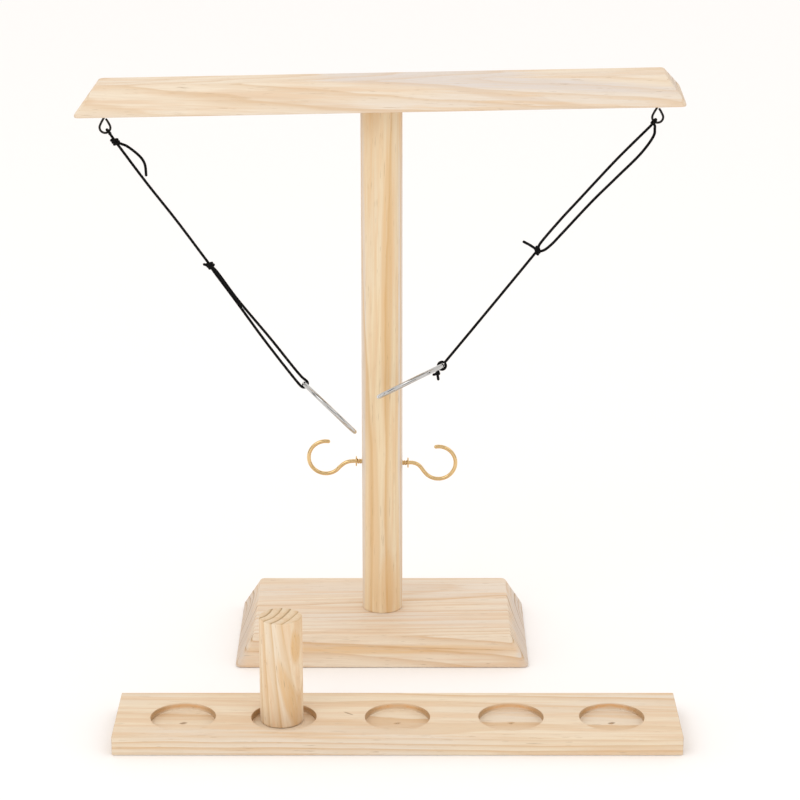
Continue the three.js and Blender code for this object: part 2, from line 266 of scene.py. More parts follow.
def tube_mesh(name, points, radius_at, sides, material, dome=0.0):
    """A closed tube along the points. radius_at(distance, turn) is its radius; dome rounds off both ends."""
    frames = carried_frames(points)
    vertices, faces, run, lengths = [], [], 0.0, []
    for i, (point, (_, side, up)) in enumerate(zip(points, frames)):
        run += (point - points[i - 1]).length if i else 0.0
        lengths.append(run)
    total = lengths[-1]
    for point, distance, (_, side, up) in zip(points, lengths, frames):
        ease = 1.0
        if dome > 0:
            nearest = min(distance, total - distance) / dome
            ease = math.sqrt(max(1 - (1 - min(nearest, 1.0)) ** 2, 0.04))
        for k in range(sides):
            turn = 2 * math.pi * k / sides
            radius = radius_at(distance, turn) * ease
            vertices.append(point + side * (radius * math.cos(turn)) + up * (radius * math.sin(turn)))
    rows = len(points)
    for i in range(rows - 1):
        for k in range(sides):
            n = (k + 1) % sides
            faces.append((i * sides + k, i * sides + n, (i + 1) * sides + n, (i + 1) * sides + k))
    first, last = len(vertices), len(vertices) + 1
    vertices += [points[0], points[-1]]
    for k in range(sides):
        n = (k + 1) % sides
        faces.append((first, n, k))
        faces.append((last, (rows - 1) * sides + k, (rows - 1) * sides + n))
    piece = add_mesh(name, vertices, faces, material)
    layer = piece.data.uv_layers.new(name="Run")
    for polygon in piece.data.polygons:
        turns = [(piece.data.loops[i].vertex_index % sides) / sides for i in polygon.loop_indices]
        wrapped = max(turns) - min(turns) > 0.5
        for i, turn in zip(polygon.loop_indices, turns):
            vertex = piece.data.loops[i].vertex_index
            row = min(vertex // sides, rows - 1)
            layer.data[i].uv = (turn + 1 if wrapped and turn < 0.5 else turn, lengths[row] / (100 * MM))
    work = bmesh.new()
    work.from_mesh(piece.data)
    bmesh.ops.recalc_face_normals(work, faces=work.faces)
    work.to_mesh(piece.data)
    work.free()
    return piece


def lathe_mesh(name, profile, sides, material, place):
    """A solid turned about its own Z from (radius, height) pairs that start and end on the axis."""
    work = bmesh.new()
    rows = []
    for radius, height in profile:
        if radius < 1e-9:
            rows.append([work.verts.new(place @ Vector((0, 0, height)))])
            continue
        row = []
        for k in range(sides):
            turn = 2 * math.pi * k / sides
            row.append(work.verts.new(place @ Vector((radius * math.cos(turn), radius * math.sin(turn), height))))
        rows.append(row)
    for low, high in zip(rows, rows[1:]):
        for k in range(sides):
            n = (k + 1) % sides
            if len(low) == 1:
                work.faces.new((low[0], high[n], high[k]))
            elif len(high) == 1:
                work.faces.new((low[k], low[n], high[0]))
            else:
                work.faces.new((low[k], low[n], high[n], high[k]))
    return from_bmesh(name, work, material)


def dowel_profile(radius, bottom, top, rounding):
    """The outline of a turned dowel whose two edges are rounded over."""
    profile = [(0.0, bottom), (radius * 0.55, bottom)]
    for k in range(6):
        turn = math.pi / 2 * k / 5
        profile.append((radius - rounding + rounding * math.sin(turn), bottom + rounding - rounding * math.cos(turn)))
    for k in range(6):
        turn = math.pi / 2 * k / 5
        profile.append((radius - rounding + rounding * math.cos(turn), top - rounding + rounding * math.sin(turn)))
    return [*profile, (radius * 0.55, top), (0.0, top)]


# ---------------------------------------------------------------- shader groups


class NodeSheet:
    """A node tree that is filled by short calls: add a node, set its values, link its inputs."""

    def __init__(self, tree):
        self.tree = tree

    def add(self, kind, **inputs):
        node = self.tree.nodes.new(kind)
        for key, value in inputs.items():
            if hasattr(node, key):
                setattr(node, key, value)
        return node

    def feed(self, node, socket, value):
        """Links another node's output to a socket, or sets the socket's own value."""
        target = node.inputs[socket]
        if isinstance(value, bpy.types.NodeSocket):
            self.tree.links.new(value, target)
        else:
            target.default_value = value

    def math(self, operation, a, b=0.0, c=0.0, clamp=False):
        node = self.add("ShaderNodeMath", operation=operation, use_clamp=clamp)
        for index, value in enumerate((a, b, c)):
            self.feed(node, index, value)
        return node.outputs[0]

    def noise(self, vector, scale, detail=2.0, roughness=0.5):
        node = self.add("ShaderNodeTexNoise")
        self.feed(node, "Vector", vector)
        self.feed(node, "Scale", scale)
        self.feed(node, "Detail", detail)
        self.feed(node, "Roughness", roughness)
        return node.outputs["Fac"]

    def stretched(self, vector, scale):
        node = self.add("ShaderNodeMapping")
        self.feed(node, "Vector", vector)
        node.inputs["Scale"].default_value = scale
        return node.outputs["Vector"]

    def ramp(self, value, low, high, to_low=0.0, to_high=1.0):
        node = self.add("ShaderNodeMapRange", interpolation_type="SMOOTHSTEP")
        self.feed(node, "Value", value)
        for socket, number in (("From Min", low), ("From Max", high), ("To Min", to_low), ("To Max", to_high)):
            self.feed(node, socket, number)
        return node.outputs["Result"]

    def blend(self, amount, a, b, blend_type="MIX"):
        node = self.add("ShaderNodeMix", data_type="RGBA", blend_type=blend_type)
        self.feed(node, "Factor", amount)
        for socket, value in ((node.inputs[6], a), (node.inputs[7], b)):
            if isinstance(value, bpy.types.NodeSocket):
                self.tree.links.new(value, socket)
            else:
                socket.default_value = (*value, 1.0)
        return node.outputs[2]


def new_group(name, inputs, outputs):
    tree = bpy.data.node_groups.new(name, "ShaderNodeTree")
    for label, kind, default in inputs:
        socket = tree.interface.new_socket(name=label, in_out="INPUT", socket_type=kind)
        if default is not None:
            socket.default_value = default
    for label, kind in outputs:
        tree.interface.new_socket(name=label, in_out="OUTPUT", socket_type=kind)
    start, end = tree.nodes.new("NodeGroupInput"), tree.nodes.new("NodeGroupOutput")
    return tree, NodeSheet(tree), start.outputs, end


def growth_ring_group():
    """Solid softwood: growth rings about the X axis of its vector, with fibres along X."""
    tree, sheet, given, end = new_group(
        "Growth Rings",
        [("Vector", "NodeSocketVector", None), ("Ring Width", "NodeSocketFloat", 3.2 * MM),
         ("Wobble", "NodeSocketFloat", 0.35), ("Seed", "NodeSocketFloat", 0.0)],
        [("Late Wood", "NodeSocketFloat"), ("Fibre", "NodeSocketFloat"), ("Cloud", "NodeSocketFloat"),
         ("Fleck", "NodeSocketFloat"), ("Streak", "NodeSocketFloat")],
    )
    shift = sheet.add("ShaderNodeCombineXYZ")
    sheet.feed(shift, "X", given["Seed"])
    moved = sheet.add("ShaderNodeVectorMath", operation="ADD")
    sheet.feed(moved, 0, given["Vector"])
    sheet.feed(moved, 1, shift.outputs[0])
    grain = moved.outputs[0]

    across = sheet.add("ShaderNodeSeparateXYZ")
    sheet.feed(across, 0, given["Vector"])
    y, z = across.outputs["Y"], across.outputs["Z"]
    radius = sheet.math("SQRT", sheet.math("ADD", sheet.math("MULTIPLY", y, y), sheet.math("MULTIPLY", z, z)))
    slow = sheet.noise(sheet.stretched(grain, (4.0, 22.0, 22.0)), 1.0, 2.0)
    ripple = sheet.noise(sheet.stretched(grain, (26.0, 160.0, 160.0)), 1.0, 2.0)
    bend = sheet.math("ADD", sheet.math("MULTIPLY", sheet.math("SUBTRACT", slow, 0.5), 4.0),
                      sheet.math("MULTIPLY", sheet.math("SUBTRACT", ripple, 0.5), 0.5))
    phase = sheet.math("ADD", sheet.math("DIVIDE", radius, given["Ring Width"]),
                       sheet.math("MULTIPLY", bend, given["Wobble"]))
    year = sheet.math("FLOOR", phase)
    part = sheet.math("FRACT", phase)
    climb = sheet.math("POWER", part, 3.2)
    drop = sheet.ramp(part, 0.90, 1.0, 1.0, 0.0)
    whim = sheet.add("ShaderNodeTexWhiteNoise", noise_dimensions="1D")
    sheet.feed(whim, "W", sheet.math("ADD", year, given["Seed"]))
    strength = sheet.math("MULTIPLY_ADD", whim.outputs["Value"], 0.7, 0.35)
    late = sheet.math("MULTIPLY", sheet.math("MULTIPLY", climb, drop), sheet.math("MULTIPLY", strength, 1.35))
    sheet.feed(end, "Late Wood", sheet.math("MINIMUM", late, 1.0))

    fibre = sheet.noise(sheet.stretched(grain, (28.0, 1500.0, 1500.0)), 1.0, 3.0, 0.6)
    sheet.feed(end, "Fibre", fibre)
    sheet.feed(end, "Cloud", sheet.noise(sheet.stretched(grain, (5.0, 30.0, 30.0)), 1.0, 3.0))
    sheet.feed(end, "Streak", sheet.noise(sheet.stretched(grain, (8.0, 190.0, 190.0)), 1.0, 4.0, 0.6))
    dash = sheet.noise(sheet.stretched(grain, (75.0, 1900.0, 1900.0)), 1.0, 1.0)
    sheet.feed(end, "Fleck", sheet.ramp(dash, 0.68, 0.76))
    return tree


def braid_group():
    """Strands that cross round a string, from a UV map that runs round it and along it."""
    tree, sheet, given, end = new_group(
        "String Braid",
        [("UV", "NodeSocketVector", None), ("Strands", "NodeSocketFloat", 6.0),
         ("Turns Per Length", "NodeSocketFloat", 26.0)],
        [("Height", "NodeSocketFloat"), ("Fuzz", "NodeSocketFloat")],
    )
    parts = sheet.add("ShaderNodeSeparateXYZ")
    sheet.feed(parts, 0, given["UV"])
    round_it = sheet.math("MULTIPLY", parts.outputs["X"], given["Strands"])
    along_it = sheet.math("MULTIPLY", parts.outputs["Y"], sheet.math("MULTIPLY", given["Turns Per Length"], 1.0))
    one_way = sheet.math("PINGPONG", sheet.math("ADD", round_it, along_it), 0.5)
    other_way = sheet.math("PINGPONG", sheet.math("SUBTRACT", round_it, along_it), 0.5)
    crossing = sheet.math("MAXIMUM", one_way, other_way)
    fuzz = sheet.noise(sheet.stretched(given["UV"], (60.0, 900.0, 1.0)), 1.0, 2.0)
    sheet.feed(end, "Height", sheet.math("MULTIPLY_ADD", fuzz, 0.35, crossing))
    sheet.feed(end, "Fuzz", fuzz)
    return tree


def handling_group():
    """Faint smudges and hairline scratches of a handled metal wire."""
    tree, sheet, given, end = new_group(
        "Handled Metal",
        [("Vector", "NodeSocketVector", None), ("Scale", "NodeSocketFloat", 1.0)],
        [("Smudge", "NodeSocketFloat"), ("Scratch", "NodeSocketFloat")],
    )
    scaled = sheet.add("ShaderNodeVectorMath", operation="SCALE")
    sheet.feed(scaled, 0, given["Vector"])
    sheet.feed(scaled, "Scale", given["Scale"])
    vector = scaled.outputs[0]
    sheet.feed(end, "Smudge", sheet.ramp(sheet.noise(vector, 220.0, 3.0, 0.6), 0.35, 0.75))
    lines = sheet.noise(sheet.stretched(vector, (300.0, 4200.0, 900.0)), 1.0, 2.0)
    sheet.feed(end, "Scratch", sheet.ramp(lines, 0.60, 0.75))
    return tree


GROUPS = {}


def group_node(sheet, name):
    makers = {"Growth Rings": growth_ring_group, "String Braid": braid_group, "Handled Metal": handling_group}
    if name not in GROUPS:
        GROUPS[name] = makers[name]()
    return sheet.add("ShaderNodeGroup", node_tree=GROUPS[name])


# ---------------------------------------------------------------- materials


def new_material(name):
    material = bpy.data.materials.new(name)
    material.use_nodes = True
    material.node_tree.nodes.clear()
    sheet = NodeSheet(material.node_tree)
    shader, output = sheet.add("ShaderNodeBsdfPrincipled"), sheet.add("ShaderNodeOutputMaterial")
    material.node_tree.links.new(shader.outputs[0], output.inputs["Surface"])
    return material, sheet, shader


def bump(sheet, shader, height, strength, distance):
    node = sheet.add("ShaderNodeBump")
    sheet.feed(node, "Height", height)
    node.inputs["Strength"].default_value = strength
    node.inputs["Distance"].default_value = distance
    sheet.feed(shader, "Normal", node.outputs[0])


# What the pine's own tone is multiplied by in its rosy streaks, its cool clouds and its fibres.
ROSY_TONE = (0.93, 0.83, 0.75)
COOL_TONE = (0.94, 0.97, 1.06)
FIBRE_TONE = (0.86, 0.81, 0.76)


def toned(colour, tone):
    return [c * t for c, t in zip(colour, tone)]


def pine(name, pith, turn, ring_width, seed, wobble=0.35, tint=(1, 1, 1), tint_late=(1, 1, 1), depth=1.0, patches=(),
         thirst=0.2):
    """Bare sanded pine. pith is a point on the tree's middle, and turn lays the grain along the piece.

    Each patch is a soft-edged tint (real stains, painted shade and sheen): its centre, half sizes, turn in degrees,
    colour and amount.
    thirst is how much darker the end grain is.
    """
    wood = bpy.context.scene.ring_game.wood
    material, sheet, shader = new_material(name)
    coordinates = sheet.add("ShaderNodeTexCoord")
    place = coordinates.outputs["Object"]
    turned = sheet.add("ShaderNodeMapping", vector_type="TEXTURE")
    sheet.feed(turned, "Vector", place)
    turned.inputs["Location"].default_value = pith
    turned.inputs["Rotation"].default_value = turn
    rings = group_node(sheet, "Growth Rings")
    sheet.feed(rings, "Vector", turned.outputs[0])
    rings.inputs["Ring Width"].default_value = ring_width
    rings.inputs["Wobble"].default_value = wobble
    rings.inputs["Seed"].default_value = seed
    late, fibre, cloud, fleck, streak = (
        rings.outputs[n] for n in ("Late Wood", "Fibre", "Cloud", "Fleck", "Streak"))

    # End grain drinks in more light, so its year lines are darker.
    facing = sheet.add("ShaderNodeVectorMath", operation="DOT_PRODUCT")
    sheet.feed(facing, 0, coordinates.outputs["Normal"])
    facing.inputs[1].default_value = Euler(turn).to_matrix() @ Vector((1, 0, 0))
    end_grain = sheet.ramp(sheet.math("ABSOLUTE", facing.outputs["Value"]), 0.35, 0.95)

    pale = toned(wood.pale, tint)
    dark = toned(wood.dark, tint_late)
    rosy = toned(pale, ROSY_TONE)
    cool = toned(pale, COOL_TONE)
    colour = sheet.blend(sheet.ramp(cloud, 0.38, 0.62, 0.0, 0.9), pale, cool)
    colour = sheet.blend(sheet.ramp(streak, 0.45, 0.64), colour, rosy)
    # Each patch lays a soft-edged tint over the wood: real stains, and painted shade and sheen.
    for centre, half, lean, stain_and_painted_light, amount in patches:
        spot = sheet.add("ShaderNodeMapping", vector_type="TEXTURE")
        sheet.feed(spot, "Vector", place)
        spot.inputs["Location"].default_value = [c * MM for c in centre]
        spot.inputs["Rotation"].default_value = [math.radians(a) for a in lean]
        spot.inputs["Scale"].default_value = [h * MM for h in half]
        reach = sheet.add("ShaderNodeVectorMath", operation="LENGTH")
        sheet.feed(reach, 0, spot.outputs[0])
        ragged = sheet.math("MULTIPLY_ADD", sheet.math("SUBTRACT", streak, 0.5), 0.9, reach.outputs["Value"])
        colour = sheet.blend(sheet.ramp(ragged, 0.6, 1.08, amount, 0.0), colour, stain_and_painted_light)
    strength = sheet.math("MULTIPLY", late, sheet.math("MULTIPLY_ADD", end_grain, 0.8, depth), clamp=True)
    colour = sheet.blend(strength, colour, dark)
    colour = sheet.blend(sheet.math("MULTIPLY", end_grain, thirst), colour, [c * 0.60 for c in dark])
    year_line = sheet.math("MULTIPLY", sheet.ramp(late, 0.30, 0.60), end_grain)
    colour = sheet.blend(sheet.math("MULTIPLY", year_line, 0.8), colour, [c * 0.42 for c in dark])
    colour = sheet.blend(sheet.ramp(fibre, 0.38, 0.66, 0.0, 0.42), colour, toned(pale, FIBRE_TONE))
    colour = sheet.blend(sheet.math("MULTIPLY", fleck, 0.55), colour, [c * 0.55 for c in dark])
    sheet.feed(shader, "Base Color", colour)
    sheet.feed(shader, "Roughness", sheet.math("MULTIPLY_ADD", late, -0.10, 0.62))
    shader.inputs["Specular IOR Level"].default_value = 0.25
    height = sheet.math("ADD", sheet.math("MULTIPLY", fibre, 0.5), sheet.math("MULTIPLY", late, 0.5))
    bump(sheet, shader, height, 0.22, 0.15 * MM)
    return material


def metal(name, colour, roughness, scale=1.0, smudged=0.12, tarnish=(0.5, 0.5, 0.5), tarnished=0.15):
    """Drawn and polished wire, with smudges, hairlines and a little tarnish."""
    material, sheet, shader = new_material(name)
    place = sheet.add("ShaderNodeTexCoord").outputs["Object"]
    marks = group_node(sheet, "Handled Metal")
    sheet.feed(marks, "Vector", place)
    marks.inputs["Scale"].default_value = scale
    smudge, scratch = marks.outputs["Smudge"], marks.outputs["Scratch"]
    dull = [c * t for c, t in zip(colour, tarnish)]
    sheet.feed(shader, "Base Color", sheet.blend(sheet.math("MULTIPLY", smudge, tarnished), colour, dull))
    rough = sheet.math("MULTIPLY_ADD", smudge, smudged, roughness)
    sheet.feed(shader, "Roughness", sheet.math("MULTIPLY_ADD", scratch, 0.08, rough))
    shader.inputs["Metallic"].default_value = 1.0
    bump(sheet, shader, scratch, 0.08, 0.03 * MM)
    return material


def black_string():
    """Matt black braided string."""
    strands = bpy.context.scene.ring_game.string.strands
    material, sheet, shader = new_material("black braided string")
    uv = sheet.add("ShaderNodeUVMap", uv_map="Run").outputs[0]
    braid = group_node(sheet, "String Braid")
    sheet.feed(braid, "UV", uv)
    braid.inputs["Strands"].default_value = strands
    height, fuzz = braid.outputs["Height"], braid.outputs["Fuzz"]
    lit = sheet.blend(sheet.ramp(height, 0.2, 0.75), (0.0012, 0.0012, 0.0013), (0.006, 0.006, 0.0065))
    sheet.feed(shader, "Base Color", sheet.blend(sheet.math("MULTIPLY", fuzz, 0.35), lit, (0.011, 0.0105, 0.0105)))
    sheet.feed(shader, "Roughness", sheet.math("MULTIPLY_ADD", fuzz, 0.15, 0.72))
    shader.inputs["Specular IOR Level"].default_value = 0.08
    shader.inputs["Sheen Weight"].default_value = 0.02
    shader.inputs["Sheen Roughness"].default_value = 0.5
    bump(sheet, shader, height, 0.6, 0.16 * MM)
    return material


MATERIALS = {}

AMBER, LILAC, ASH, RUST, BARK = (
    (0.74, 0.49, 0.25), (0.70, 0.64, 0.60), (0.63, 0.57, 0.53), (0.52, 0.29, 0.13), (0.24, 0.13, 0.06))

CROSSBAR_STAINS_AND_SHEEN = (
    # Painted sheen: a pale lilac tint over the top face, for the light it catches. The rust streaks are the wood's own
    # colour.
    ((0, 0, 388), (260, 60, 4), (0, 1.4, 0), LILAC, 0.95),
    ((-60, -32, 376), (70, 20, 3), (0, 5, 0), RUST, 0.16),
    ((90, -32, 378), (75, 20, 2), (0, 6, 0), RUST, 0.18),
)
POST_STAINS_AND_SHEEN = (
    ((3.5, -13.5, 250), (4.5, 9, 110), (0, 0.6, 0), AMBER, 0.75),
    ((-5, -13.5, 90), (3.5, 9, 90), (0, -0.8, 0), AMBER, 0.55),
    ((4, -13.5, 40), (6, 9, 30), (0, 0, 0), AMBER, 0.6),
    # Painted sheen: pale lilac strips down the post's left and right sides, where the round post catches the light.
    ((-13.5, -5, 200), (3.8, 9, 230), (0, 0, 0), LILAC, 0.85),
    ((13.5, -5, 200), (3.8, 9, 230), (0, 0, 0), LILAC, 0.85),
)
BASE_STAINS_AND_PAINTED_LIGHT = (
    # Painted shade: a darker amber band along the front face.
    ((0, -54, 13), (130, 3, 4.2), (0, 0, 0), AMBER, 0.80),
    ((30, -54, 13.5), (90, 3, 0.7), (0, 1.5, 0), RUST, 0.55),
    # Painted light: a grey cast on the two sloped ends, for how they face the lamps.
    ((-97, 0, 10), (11, 90, 30), (0, 0, 0), ASH, 0.75),
    ((97, 0, 10), (11, 90, 30), (0, 0, 0), (0.66, 0.62, 0.60), 0.85),
)
PEG_STAINS = (
    ((-52.5, -162, 62), (4, 8, 14), (0, 0, 0), AMBER, 1.0),
    ((-56, -165, 26), (4.5, 8, 30), (0, -14, 0), AMBER, 0.8),
)
ROW_X = (-123.7, -60.7, 10.3, 81.3, 144.3)
BOARD_STAINS_AND_SHADE = (
    # Painted shade: an orange-brown tint that darkens each recess's walls and floor.
    *(((x, -157.1, 10.6), (34, 27, 2.4), (0, 0, 0), (0.74, 0.38, 0.13), 1.0) for x in ROW_X),
    # Painted shade: a dark spot in each recess's centre-drill point.
    *(((x, -157.1, 7.6), (2.8, 1.5, 1.2), (0, 0, 20), BARK, 0.8) for x in ROW_X),
    ((-20.4, -152.6, 12.5), (4.4, 0.9, 2), (0, 0, -38), BARK, 0.7),
)


def material_for(finish):
    """Each finish is made once, when the first piece asks for it."""
    tilt = math.radians
    makers = {
        "crossbar pine": lambda: pine("crossbar pine", (0.06, 0.012, 0.300), (0, tilt(1.2), tilt(-2.5)), 3.1 * MM,
                                      3.7, 0.75, (1.01, 1.01, 1.0), (1.06, 1.08, 1.15), 0.65, CROSSBAR_STAINS_AND_SHEEN),
        "post pine": lambda: pine("post pine", (0.004, 0.021, 0.0), (0, tilt(90.9), tilt(0.6)), 3.4 * MM,
                                  11.3, 0.4, (1.04, 0.99, 0.84), (1.10, 1.04, 0.85), 0.8, POST_STAINS_AND_SHEEN),
        "base pine": lambda: pine("base pine", (0.0, 0.035, -0.052), (0, tilt(0.8), tilt(1.6)), 4.2 * MM,
                                  5.1, 0.6, (1.0, 0.99, 0.98), (1.06, 1.04, 1.08), 0.95, BASE_STAINS_AND_PAINTED_LIGHT),
        "board pine": lambda: pine("board pine", (0.0, -0.166, -0.095), (0, tilt(0.5), tilt(-0.7)), 3.6 * MM,
                                   8.9, 0.5, (1.0, 0.98, 0.93), (1.06, 1.02, 0.98), 0.95, BOARD_STAINS_AND_SHADE, 0.8),
        "peg pine": lambda: pine("peg pine", (-0.090, -0.135, 0.043), (0, tilt(83), 0), 5.6 * MM,
                                 2.6, 0.3, (1.05, 1.01, 0.92), (1.04, 1.0, 0.85), 1.0, PEG_STAINS),
        "hook brass": lambda: metal("hook brass", (0.78, 0.56, 0.28), 0.09, smudged=0.06,
                                    tarnish=(0.6, 0.5, 0.4)),
        "ring steel": lambda: metal("ring steel", (0.55, 0.55, 0.545), 0.07, smudged=0.06),
        "eye wire": lambda: metal("eye wire", (0.030, 0.028, 0.026), 0.30, smudged=0.2),
        "zinc screw": lambda: metal("zinc screw", (0.60, 0.60, 0.57), 0.28, tarnish=(0.8, 0.75, 0.6)),
        "black string": black_string,
    }
    if finish not in MATERIALS:
        MATERIALS[finish] = makers[finish]()
    return MATERIALS[finish]


def settle(piece, body, slot, *nodes):
    """The piece rides on its body and stands for its CAD nodes. The slot is not used."""
    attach(piece, body)
    if nodes:
        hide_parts(*nodes)
    return piece


# ---------------------------------------------------------------- wooden pieces

# Width, depth, height, upright edge, end bevel and side bevel, in metres.
BASE = (194.5 * MM, 108 * MM, 22 * MM, 3 * MM, 12 * MM, 2.5 * MM)
CROSSBAR = (386 * MM, 64 * MM, 17 * MM, 2 * MM, 11.5 * MM, 18 * MM)
BAR_PLACE = (
    Matrix.Translation((-0.5 * MM, 0, 369.6 * MM))
    @ Matrix.Rotation(math.radians(-1.5), 4, "Z")
    @ Matrix.Rotation(math.radians(-1.4), 4, "Y")
)
CORNER = 3 * MM
RECESS_RADIUS = 20.25 * MM
RECESS_DEPTH = 4.6 * MM
RECESS_OFFSETS = (-134 * MM, -71 * MM, 0.0, 71 * MM, 134 * MM)
RECESS_ROW = -3.1 * MM


def bevelled_board(name, sizes, material):
    """A board with an upright edge all round, round corners, and bevels that rise to a smaller top."""
    width, depth, height, land, end_bevel, side_bevel = sizes
    work = bmesh.new()
    levels = []
    for z, w, d in ((0, width, depth), (land, width, depth),
                    (height, width - 2 * end_bevel, depth - 2 * side_bevel)):
        loop = []
        for corner, (sx, sy) in enumerate(((1, 1), (-1, 1), (-1, -1), (1, -1))):
            for k in range(5):
                turn = math.pi / 2 * (corner + k / 4)
                x = sx * (w / 2 - CORNER) + CORNER * math.cos(turn)
                y = sy * (d / 2 - CORNER) + CORNER * math.sin(turn)
                loop.append(work.verts.new((x, y, z)))
        levels.append(loop)
    count = len(levels[0])
    for low, high in zip(levels, levels[1:]):
        for k in range(count):
            n = (k + 1) % count
            work.faces.new((low[k], low[n], high[n], high[k]))
    work.faces.new(levels[0][::-1])
    work.faces.new(levels[-1])
    return from_bmesh(name, work, material)


def recess_cutters_tree():
    """Round cutters in a row, each with a small centre-drill point, taken out of the board."""
    tree = bpy.data.node_groups.new("Row of Recesses", "GeometryNodeTree")
    interface = tree.interface
    interface.new_socket(name="Board", in_out="INPUT", socket_type="NodeSocketGeometry")
    for label in ("Radius", "Depth", "Top"):
        interface.new_socket(name=label, in_out="INPUT", socket_type="NodeSocketFloat")
    interface.new_socket(name="Finish", in_out="INPUT", socket_type="NodeSocketMaterial")
    interface.new_socket(name="Result", in_out="OUTPUT", socket_type="NodeSocketGeometry")
    sheet = NodeSheet(tree)
    start, end = tree.nodes.new("NodeGroupInput"), tree.nodes.new("NodeGroupOutput")
    centre_y = sum(corner.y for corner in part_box("drinks_board")) / 2 + RECESS_ROW
    centre_x = sum(corner.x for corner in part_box("drinks_board")) / 2

    cylinder = sheet.add("GeometryNodeMeshCylinder")
    cylinder.inputs["Vertices"].default_value = 96
    sheet.feed(cylinder, "Radius", start.outputs["Radius"])
    sheet.feed(cylinder, "Depth", sheet.math("MULTIPLY", start.outputs["Depth"], 2.0))
    drill = sheet.add("GeometryNodeMeshCone")
    drill.inputs["Vertices"].default_value = 24
    for socket, size in (("Radius Top", 1.5 * MM), ("Radius Bottom", 0.0), ("Depth", 1.7 * MM)):
        drill.inputs[socket].default_value = size
    lower = sheet.add("GeometryNodeTransform")
    sheet.feed(lower, "Geometry", drill.outputs["Mesh"])
    drop = sheet.add("ShaderNodeCombineXYZ")
    sheet.feed(drop, "Z", sheet.math("SUBTRACT", -1.3 * MM, start.outputs["Depth"]))
    sheet.feed(lower, "Translation", drop.outputs[0])

    places = sheet.add("GeometryNodeJoinGeometry")
    for offset in RECESS_OFFSETS:
        point = sheet.add("GeometryNodePoints")
        point.inputs["Count"].default_value = 1
        spot = sheet.add("ShaderNodeCombineXYZ")
        spot.inputs["X"].default_value = centre_x + offset
        spot.inputs["Y"].default_value = centre_y
        sheet.feed(spot, "Z", start.outputs["Top"])
        sheet.feed(point, "Position", spot.outputs[0])
        tree.links.new(point.outputs[0], places.inputs[0])

    board = start.outputs["Board"]
    for shape in (cylinder.outputs["Mesh"], lower.outputs["Geometry"]):
        copies = sheet.add("GeometryNodeInstanceOnPoints")
        sheet.feed(copies, "Points", places.outputs[0])
        sheet.feed(copies, "Instance", shape)
        real = sheet.add("GeometryNodeRealizeInstances")
        sheet.feed(real, 0, copies.outputs[0])
        cut = sheet.add("GeometryNodeMeshBoolean", operation="DIFFERENCE", solver="EXACT")
        sheet.feed(cut, "Mesh 1", board)
        tree.links.new(real.outputs[0], cut.inputs["Mesh 2"])
        board = cut.outputs["Mesh"]
    finish = sheet.add("GeometryNodeSetMaterial")
    sheet.feed(finish, "Geometry", board)
    sheet.feed(finish, "Material", start.outputs["Finish"])
    tree.links.new(finish.outputs[0], end.inputs[0])
    return tree


def with_inputs(piece, tree, values):
    """The piece after a Geometry Nodes tree with these named inputs, as a plain mesh."""
    modifier = piece.modifiers.new(tree.name, "NODES")
    modifier.node_group = tree
    for item in tree.interface.items_tree:
        if item.in_out == "INPUT" and item.name in values:
            modifier[item.identifier] = values[item.name]
    return applied(piece)


class RINGGAME_OT_stand(bpy.types.Operator):
    """Build the base, the post and the crossbar"""

    bl_idname = "ring_game.stand"
    bl_label = "Wooden Stand"

    def execute(self, context):
        edge = context.scene.ring_game.wood.edge_radius
        base = round_edges(bevelled_board("pine_base", BASE, material_for("base pine")), edge)
        settle(base, "stand", "pine", "base_board")

        bar = bevelled_board("pine_crossbar", CROSSBAR, material_for("crossbar pine"))
        bar.data.transform(BAR_PLACE)
        settle(round_edges(bar, edge), "stand", "pine", "crossbar")

        low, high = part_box("post")
        profile = dowel_profile((high.x - low.x) / 2, low.z - 0.3 * MM, high.z + 0.4 * MM, 0.8 * MM)
        post = lathe_mesh("pine_post", profile, 96, material_for("post pine"), Matrix.Identity(4))
        settle(post, "stand", "pine", "post")
        for name in ("base_dowel_screw", "crossbar_dowel_screw"):
            frame["nodes"][name].data.materials[0] = material_for("zinc screw")
        return {"FINISHED"}


class RINGGAME_OT_drinks_board(bpy.types.Operator):
    """Build the loose drinks board with its row of recesses, and the marker peg that stands in one"""

    bl_idname = "ring_game.drinks_board"
    bl_label = "Drinks Board and Peg"

    def execute(self, context):
        edge = context.scene.ring_game.wood.edge_radius
        low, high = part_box("drinks_board")
        work = bmesh.new()
        bmesh.ops.create_cube(work, size=1.0)
        for vertex in work.verts:
            vertex.co = Vector([low[i] + (vertex.co[i] + 0.5) * (high[i] - low[i]) for i in range(3)])
        finish = material_for("board pine")
        board = from_bmesh("pine_drinks_board", work, finish)
        values = {"Radius": RECESS_RADIUS, "Depth": RECESS_DEPTH, "Top": high.z, "Finish": finish}
        board = with_inputs(board, recess_cutters_tree(), values)
        for polygon in board.data.polygons:
            polygon.use_smooth = True
        settle(round_edges(board, 0.6 * edge, angle=40), "drinks_board", "pine", "drinks_board")

        low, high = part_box("marker_peg")
        centre = (low + high) / 2
        profile = dowel_profile((high.x - low.x) / 2, low.z - centre.z, high.z - centre.z, 0.8 * MM)
        peg = lathe_mesh("pine_marker_peg", profile, 96, material_for("peg pine"), Matrix.Translation(centre))
        settle(peg, "marker_peg", "pine", "marker_peg")
        return {"FINISHED"}


# ---------------------------------------------------------------- wire pieces

